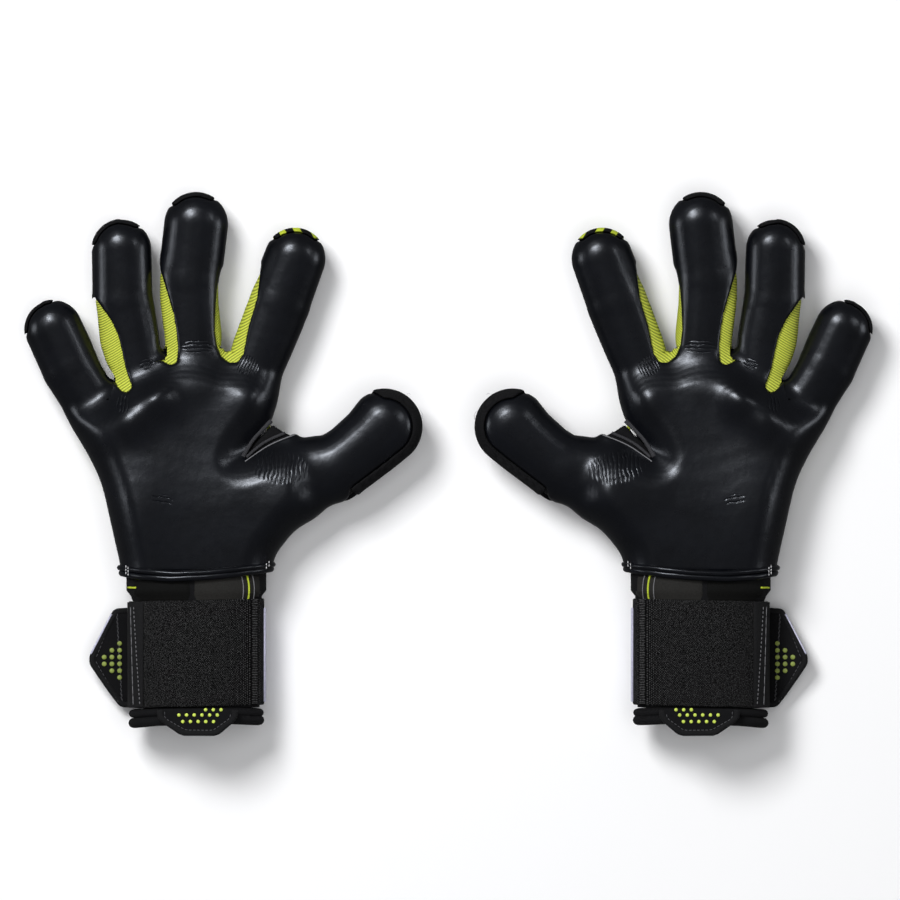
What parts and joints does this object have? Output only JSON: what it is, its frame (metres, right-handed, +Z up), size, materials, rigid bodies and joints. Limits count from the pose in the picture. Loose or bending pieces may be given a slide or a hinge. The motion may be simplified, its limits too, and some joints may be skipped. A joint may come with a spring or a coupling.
{
  "type": "pair of goalkeeper gloves",
  "caption": "Padded latex goalkeeper gloves with roll fingers, ribbed mesh gussets, elastic wrist straps and pull tabs, lying palm up.",
  "frame": {"origin": "on the resting plane, midway between the two gloves and midway from the pull tabs to the middle fingertips", "axes": "+X from the right-hand glove to the left-hand glove, +Y towards the fingertips, +Z up out of the palms"},
  "size_m": [0.4532, 0.2893, 0.0496],
  "materials": {
    "latex": "satin foam latex",
    "lime_mesh": "ribbed mesh",
    "black_fabric": "matt knit",
    "elastic": "ribbed elastic webbing",
    "towelling": "looped lining",
    "white_rubber": "satin moulded trim",
    "lime_rubber": "raised printed rubber",
    "hook_tape": "hook-and-loop tape"
  },
  "bodies": {
    "right_hand": {"right_palm_latex": "latex", "right_backhand": "black_fabric", "right_palm_lining": "towelling", "right_knuckle_pad": "latex", "right_thumb_gusset": "black_fabric", "right_index_middle_gusset": "lime_mesh", "right_middle_ring_gusset": "lime_mesh", "right_ring_little_gusset": "lime_mesh", "right_heel_binding": "latex", "right_cuff_sleeve": "black_fabric", "right_cuff_hem": "black_fabric", "right_wrist_strap": "elastic", "right_strap_anchor": "black_fabric", "right_strap_edge_trim": "white_rubber", "right_loop_patch": "hook_tape"},
    "right_index_base": {"right_index_base_wrap": "latex"},
    "right_index_tip": {"right_index_tip_wrap": "latex"},
    "right_middle_base": {"right_middle_base_wrap": "latex"},
    "right_middle_tip": {"right_middle_tip_wrap": "latex"},
    "right_ring_base": {"right_ring_base_wrap": "latex"},
    "right_ring_tip": {"right_ring_tip_wrap": "latex"},
    "right_little_base": {"right_little_base_wrap": "latex"},
    "right_little_tip": {"right_little_tip_wrap": "latex"},
    "right_thumb_base": {"right_thumb_base_wrap": "latex"},
    "right_thumb_tip": {"right_thumb_tip_wrap": "latex"},
    "right_strap_tail": {"right_strap_tail": "black_fabric", "right_hook_patch": "hook_tape", "right_strap_grip_dots": "lime_rubber"},
    "right_pull_tab": {"right_pull_tab": "black_fabric", "right_pull_tab_dots": "lime_rubber"},
    "left_hand": {"left_palm_latex": "latex", "left_backhand": "black_fabric", "left_palm_lining": "towelling", "left_knuckle_pad": "latex", "left_thumb_gusset": "black_fabric", "left_index_middle_gusset": "lime_mesh", "left_middle_ring_gusset": "lime_mesh", "left_ring_little_gusset": "lime_mesh", "left_heel_binding": "latex", "left_cuff_sleeve": "black_fabric", "left_cuff_hem": "black_fabric", "left_wrist_strap": "elastic", "left_strap_anchor": "black_fabric", "left_strap_edge_trim": "white_rubber", "left_loop_patch": "hook_tape"},
    "left_index_base": {"left_index_base_wrap": "latex"},
    "left_index_tip": {"left_index_tip_wrap": "latex"},
    "left_middle_base": {"left_middle_base_wrap": "latex"},
    "left_middle_tip": {"left_middle_tip_wrap": "latex"},
    "left_ring_base": {"left_ring_base_wrap": "latex"},
    "left_ring_tip": {"left_ring_tip_wrap": "latex"},
    "left_little_base": {"left_little_base_wrap": "latex"},
    "left_little_tip": {"left_little_tip_wrap": "latex"},
    "left_thumb_base": {"left_thumb_base_wrap": "latex"},
    "left_thumb_tip": {"left_thumb_tip_wrap": "latex"},
    "left_strap_tail": {"left_strap_tail": "black_fabric", "left_hook_patch": "hook_tape", "left_strap_grip_dots": "lime_rubber"},
    "left_pull_tab": {"left_pull_tab": "black_fabric", "left_pull_tab_dots": "lime_rubber"}
  },
  "joints": [
    {"name": "right_index_base_bend", "type": "hinge", "parent": "right_hand", "child": "right_index_base", "pos_m": [-0.1048, 0.0486, 0.0185], "axis": [0.9311, -0.3649, 0], "range_deg": [0, 50]},
    {"name": "right_index_tip_bend", "type": "hinge", "parent": "right_index_base", "child": "right_index_tip", "pos_m": [-0.0903, 0.0856, 0.0185], "axis": [0.9467, -0.3222, 0], "range_deg": [0, 65]},
    {"name": "right_middle_base_bend", "type": "hinge", "parent": "right_hand", "child": "right_middle_base", "pos_m": [-0.1358, 0.0566, 0.0185], "axis": [0.9992, 0.039, 0], "range_deg": [0, 50]},
    {"name": "right_middle_tip_bend", "type": "hinge", "parent": "right_middle_base", "child": "right_middle_tip", "pos_m": [-0.1374, 0.0976, 0.0185], "axis": [0.9982, -0.0595, 0], "range_deg": [0, 65]},
    {"name": "right_ring_base_bend", "type": "hinge", "parent": "right_hand", "child": "right_ring_base", "pos_m": [-0.1653, 0.0466, 0.0185], "axis": [0.9808, 0.1952, 0], "range_deg": [0, 50]},
    {"name": "right_ring_tip_bend", "type": "hinge", "parent": "right_ring_base", "child": "right_ring_tip", "pos_m": [-0.1733, 0.0868, 0.0185], "axis": [0.9971, 0.0764, 0], "range_deg": [0, 65]},
    {"name": "right_little_base_bend", "type": "hinge", "parent": "right_hand", "child": "right_little_base", "pos_m": [-0.1868, 0.0276, 0.0185], "axis": [0.8826, 0.4702, 0], "range_deg": [0, 50]},
    {"name": "right_little_tip_bend", "type": "hinge", "parent": "right_little_base", "child": "right_little_tip", "pos_m": [-0.1998, 0.052, 0.0185], "axis": [0.875, 0.4841, 0], "range_deg": [0, 65]},
    {"name": "right_thumb_base_bend", "type": "hinge", "parent": "right_hand", "child": "right_thumb_base", "pos_m": [-0.0848, -0.0102, 0.024], "axis": [0.3628, -0.9318, 0], "range_deg": [0, 30]},
    {"name": "right_thumb_tip_bend", "type": "hinge", "parent": "right_thumb_base", "child": "right_thumb_tip", "pos_m": [-0.0622, -0.0014, 0.024], "axis": [0.5791, -0.8153, 0], "range_deg": [0, 45]},
    {"name": "right_strap_tail_peel", "type": "hinge", "parent": "right_hand", "child": "right_strap_tail", "pos_m": [-0.1368, -0.1014, 0.00181], "axis": [0, -1, 0], "range_deg": [0, 90]},
    {"name": "right_pull_tab_lift", "type": "hinge", "parent": "right_hand", "child": "right_pull_tab", "pos_m": [-0.1335, -0.131, 0.0458], "axis": [-1, 0, 0], "range_deg": [0, 100]},
    {"name": "left_index_base_bend", "type": "hinge", "parent": "left_hand", "child": "left_index_base", "pos_m": [0.1048, 0.0486, 0.0185], "axis": [0.9311, 0.3649, 0], "range_deg": [0, 50]},
    {"name": "left_index_tip_bend", "type": "hinge", "parent": "left_index_base", "child": "left_index_tip", "pos_m": [0.0903, 0.0856, 0.0185], "axis": [0.9467, 0.3222, 0], "range_deg": [0, 65]},
    {"name": "left_middle_base_bend", "type": "hinge", "parent": "left_hand", "child": "left_middle_base", "pos_m": [0.1358, 0.0566, 0.0185], "axis": [0.9992, -0.039, 0], "range_deg": [0, 50]},
    {"name": "left_middle_tip_bend", "type": "hinge", "parent": "left_middle_base", "child": "left_middle_tip", "pos_m": [0.1374, 0.0976, 0.0185], "axis": [0.9982, 0.0595, 0], "range_deg": [0, 65]},
    {"name": "left_ring_base_bend", "type": "hinge", "parent": "left_hand", "child": "left_ring_base", "pos_m": [0.1653, 0.0466, 0.0185], "axis": [0.9808, -0.1952, 0], "range_deg": [0, 50]},
    {"name": "left_ring_tip_bend", "type": "hinge", "parent": "left_ring_base", "child": "left_ring_tip", "pos_m": [0.1733, 0.0868, 0.0185], "axis": [0.9971, -0.0764, 0], "range_deg": [0, 65]},
    {"name": "left_little_base_bend", "type": "hinge", "parent": "left_hand", "child": "left_little_base", "pos_m": [0.1868, 0.0276, 0.0185], "axis": [0.8826, -0.4702, 0], "range_deg": [0, 50]},
    {"name": "left_little_tip_bend", "type": "hinge", "parent": "left_little_base", "child": "left_little_tip", "pos_m": [0.1998, 0.052, 0.0185], "axis": [0.875, -0.4841, 0], "range_deg": [0, 65]},
    {"name": "left_thumb_base_bend", "type": "hinge", "parent": "left_hand", "child": "left_thumb_base", "pos_m": [0.0848, -0.0102, 0.024], "axis": [0.3628, 0.9318, 0], "range_deg": [0, 30]},
    {"name": "left_thumb_tip_bend", "type": "hinge", "parent": "left_thumb_base", "child": "left_thumb_tip", "pos_m": [0.0622, -0.0014, 0.024], "axis": [0.5791, 0.8153, 0], "range_deg": [0, 45]},
    {"name": "left_strap_tail_peel", "type": "hinge", "parent": "left_hand", "child": "left_strap_tail", "pos_m": [0.1368, -0.1014, 0.00181], "axis": [0, 1, 0], "range_deg": [0, 90]},
    {"name": "left_pull_tab_lift", "type": "hinge", "parent": "left_hand", "child": "left_pull_tab", "pos_m": [0.1335, -0.131, 0.0458], "axis": [-1, 0, 0], "range_deg": [0, 100]},
    {"name": "pair_spread", "type": "slide", "parent": "right_hand", "child": "left_hand", "axis": [1, 0, 0], "range_m": [0, 0.2]}
  ]
}
